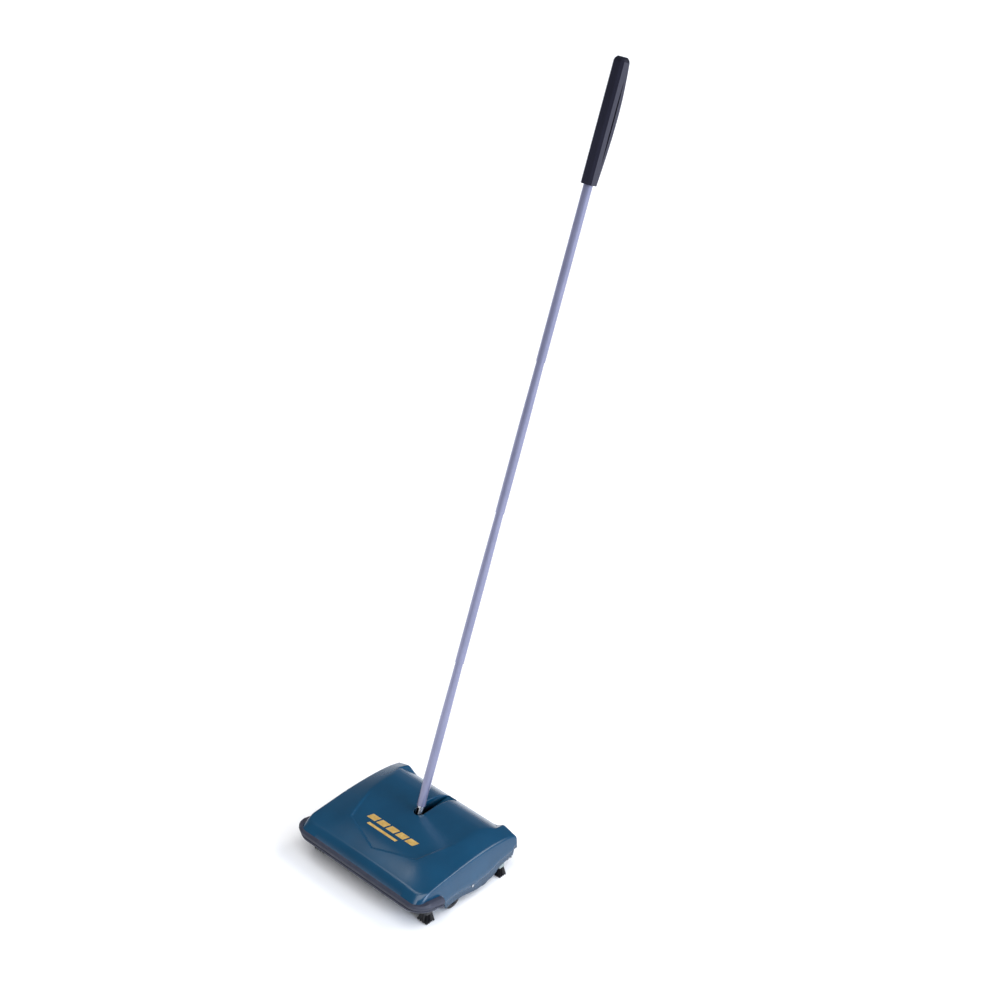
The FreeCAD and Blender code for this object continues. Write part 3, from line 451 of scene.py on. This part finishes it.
# ---- bumper -----------------------------------------------------------------
# An extruded rubber strip pushed over the hood's front edge: two round ribs with a
# groove between them, and a thin lip that laps on to the enamel.
BUMPER_FACE = 100.2
BUMPER_HALF = 128.5
BUMPER_CORNERS = (33.0, 21.0)         # corner radius of the bottom and the top edge
BUMPER_TIPS = ((-57.0, 31.0), (-53.0, 44.5))     # y and z where the arms' bottom and top edge end
STRIP = (                             # how far behind the face, and height
    (10.2, 37.6), (6.0, 36.7), (2.2, 36.5), (0.9, 37.1), (0.2, 38.2), (0.0, 39.5), (0.3, 40.8),
    (1.2, 41.5), (2.2, 41.9), (1.2, 42.4), (0.35, 43.1), (0.0, 44.6), (0.2, 46.6), (0.8, 48.0),
    (1.8, 49.0), (2.8, 49.5), (3.4, 50.0), (4.0, 50.5), (10.4, 50.5), (10.4, 44.0),
)
BUMPER_STEPS = 150

shape = bmesh.new()
bmesh.ops.create_grid(shape, x_segments=BUMPER_STEPS, y_segments=len(STRIP), size=1.0)
for vert in shape.verts:
    back, z = STRIP[round((vert.co.y + 1) / 2 * len(STRIP)) % len(STRIP)]
    t = abs(vert.co.x) * 3
    side = 1 if vert.co.x > 0 else -1
    share = (z - STRIP[2][1]) / (STRIP[-2][1] - STRIP[2][1])
    corner = BUMPER_CORNERS[0] + (BUMPER_CORNERS[1] - BUMPER_CORNERS[0]) * share
    half, front, corner = BUMPER_HALF - back, -BUMPER_FACE + back, max(corner - back, 9.0)
    if t < 1:
        x, y = plan_point(("front", t * side, side), half, front, corner, 0)
    elif t < 2:
        x, y = plan_point(("corner", (t - 1) * math.pi / 2, side), half, front, corner, 0)
    else:
        tip_y, tip_z = ((b + (a - b) * share) for b, a in zip(*BUMPER_TIPS))
        x, y = side * half, front + corner + (t - 2) * (tip_y - front - corner)
        z += (t - 2) * (tip_z - z)
    vert.co = (x, y, z)
bmesh.ops.remove_doubles(shape, verts=shape.verts, dist=0.01)
bmesh.ops.holes_fill(shape, edges=[e for e in shape.edges if e.is_boundary], sides=0)
bmesh.ops.recalc_face_normals(shape, faces=shape.faces)
# Extruded synthetic rubber: a matt slate grey, slightly uneven in shade, with a fine skin.
bumper_rubber = mottled("extruded_bumper_rubber", ("#252938", "#2e3242"), (0.5, 0.62), 0.9, 0.03,
                        patch_mm=14.0)
bumper = add_piece("bumper_strip_ribbed", shape, bumper_rubber, "head", crease=40.0)
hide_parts("bumper_strip")


# ---- corner brushes ---------------------------------------------------------
# Stiff black nylon, stapled in bunches into a moulded block at each corner. The
# bristles splay out to the floor, past the ends of the brush roll.
def bristle(shape, foot, tip, radius):
    """One three-sided filament, from where it is held to its tip."""
    line = Vector(tip) - Vector(foot)
    turn = line.to_track_quat("Z", "Y").to_matrix().to_4x4()
    place = Matrix.Translation((Vector(tip) + Vector(foot)) / 2) @ turn
    bmesh.ops.create_cone(shape, cap_ends=True, segments=3, radius1=radius, radius2=radius * 0.8,
                          depth=line.length, matrix=place)


BUNCHES = (4, 4)
BUNCH_BRISTLES = 38
CORNER_BRISTLE_R = 0.38      # coarser than the real filament, so that it shows
BLOCK_FOOT = 15.0
BUNCH_HOLE_R = 1.3

# Extruded nylon filament: black and slightly glossy, each one a little different in shade.
black_bristle = mottled("black_nylon_filament", ("#0c0c0f", "#1d1d22"), (0.35, 0.5), 2.0, 0.01,
                        patch_mm=3.0)
spread = random.Random(5)
for end in ("front", "rear"):
    for side in ("left", "right"):
        low, high = (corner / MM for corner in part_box("corner_tuft_" + end + "_" + side))
        seat_low, seat_high = (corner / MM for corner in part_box("corner_block_" + end + "_" + side))
        shape = bmesh.new()
        for i in range(BUNCHES[0]):
            for j in range(BUNCHES[1]):
                share = ((i + 0.5) / BUNCHES[0], (j + 0.5) / BUNCHES[1])
                held_low = (max(low.x + 1.0, seat_low.x + 1.0), seat_low.y + 1.0)
                held_high = (min(high.x - 1.0, seat_high.x - 1.0), seat_high.y - 1.0)
                hold = [held_low[k] + share[k] * (held_high[k] - held_low[k]) for k in (0, 1)]
                for _ in range(BUNCH_BRISTLES):
                    angle, far = spread.uniform(0, 2 * math.pi), math.sqrt(spread.random())
                    aside = (far * math.cos(angle), far * math.sin(angle))
                    foot = (hold[0] + BUNCH_HOLE_R * aside[0], hold[1] + BUNCH_HOLE_R * aside[1],
                            BLOCK_FOOT + 0.5)
                    tip = [low[k] - 0.4 + (high[k] - low[k] + 0.8)
                           * (share[k] + 0.5 * aside[k] / BUNCHES[k]) for k in (0, 1)]
                    bristle(shape, foot, (tip[0], tip[1], spread.uniform(0.1, 0.9)), CORNER_BRISTLE_R)
        tuft = add_piece("corner_bristles_" + end + "_" + side, shape, black_bristle,
                         "head")
        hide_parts("corner_tuft_" + end + "_" + side)

# ---- brush roll -------------------------------------------------------------
# Rows of bristle bunches wound in a slow spiral round a wooden core.
ROLL_ROWS = 4
ROLL_TURN = 150.0
ROLL_BUNCHES = 58
ROLL_BUNCH_BRISTLES = 9
ROLL_BRISTLE_R = 0.3

low, high = (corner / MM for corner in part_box("brush_bristles"))
roll_centre = (low + high) / 2
roll_reach = (high.z - low.z) / 2
shape = bmesh.new()
for row in range(ROLL_ROWS):
    for i in range(ROLL_BUNCHES):
        t = (i + 0.5) / ROLL_BUNCHES
        x = low.x + t * (high.x - low.x)
        angle = math.radians(row * 360 / ROLL_ROWS + ROLL_TURN * t)
        for _ in range(ROLL_BUNCH_BRISTLES):
            lean, drift = angle + spread.uniform(-0.09, 0.09), spread.uniform(-1.6, 1.6)
            reach = roll_reach - spread.uniform(0.0, 0.8)
            tip_x = max(low.x + 0.4, min(high.x - 0.4, x + drift))
            ends = [(at, roll_centre.y + r * math.cos(a), roll_centre.z + r * math.sin(a))
                    for at, r, a in ((x + drift * 0.3, 8.6, angle), (tip_x, reach, lean))]
            bristle(shape, ends[0], ends[1], ROLL_BRISTLE_R)
roll_bristles = add_piece("brush_roll_bristles", shape, black_bristle, "brush_roll")
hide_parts("brush_bristles")

# ---- finishes of the pressed, turned and moulded parts ------------------------
# Each finish goes on the parts that are made in it, whose shapes come from the frame.
FINISHES = {
    # Zinc plate on pressed steel: pale, with soft cloudy spangle.
    "zinc_steel": mottled("zinc_plated_steel", ("#9a9da3", "#b9bcc2"), (0.3, 0.42), 3.0, 0.01,
                          patch_mm=9.0, metallic=1.0),
    # Black stoving enamel on thin sheet: satin, and a little clouded.
    "pan_steel": mottled("black_stoved_sheet", ("#1b1c20", "#26272c"), (0.35, 0.5), 2.2, 0.015,
                         patch_mm=30.0),
    # Moulded polypropylene block, grey green.
    "block_plastic": mottled("grey_polypropylene", ("#7d8886", "#8f9a97"), (0.4, 0.5), 0.7, 0.02,
                             patch_mm=12.0),
    "bristle_nylon": black_bristle,
    # Tyre rubber: matt, mottled by wear.
    "tyre_rubber": mottled("tyre_rubber", ("#161617", "#222224"), (0.6, 0.75), 0.8, 0.05, patch_mm=6.0),
    # Moulded ABS with a fine spark-eroded grain.
    "black_plastic": mottled("black_abs", ("#17171a", "#1e1e22"), (0.4, 0.5), 0.6, 0.015, patch_mm=20.0),
    # Drawn steel tube under silver lacquer with a lilac cast, which drifts along its length.
    "tube_steel": mottled("silver_lacquered_tube", ("#80829c", "#8b8ca6"), (0.2, 0.27), 1.2, 0.006,
                          patch_mm=45.0, metallic=0.55, Coat_Weight=0.4, Coat_Roughness=0.05),
    # Polished moulded plastic: near black and glossy, with faint sink marks.
    "grip_plastic": mottled("glossy_black_abs", ("#0b0c13", "#101119"), (0.1, 0.15), 8.0, 0.02,
                            patch_mm=30.0, Specular_IOR_Level=0.75, Specular_Tint=linear("#d8d8ff")),
    # Natural nylon bushes: milky, slightly waxy.
    "white_nylon": mottled("natural_nylon", ("#d5d5cb", "#e2e2d9"), (0.4, 0.5), 1.0, 0.01, patch_mm=8.0),
    # Turned bright steel: smooth, with a fine grain.
    "bright_steel": mottled("turned_bright_steel", ("#bdbdbf", "#cfcfd1"), (0.2, 0.3), 0.5, 0.006,
                            patch_mm=10.0, metallic=1.0),
    "hood_paint": hood_enamel,
    "bumper_rubber": bumper_rubber,
}
for part in frame["record"]["subparts"]:
    carried = frame["nodes"][part["node"]].data
    carried.materials.clear()
    carried.materials.append(FINISHES[part["material_slot"]])
# The front pair of corner blocks is moulded in black, like the bristles.
for side in ("left", "right"):
    frame["nodes"]["corner_block_front_" + side].data.materials[0] = FINISHES["black_plastic"]
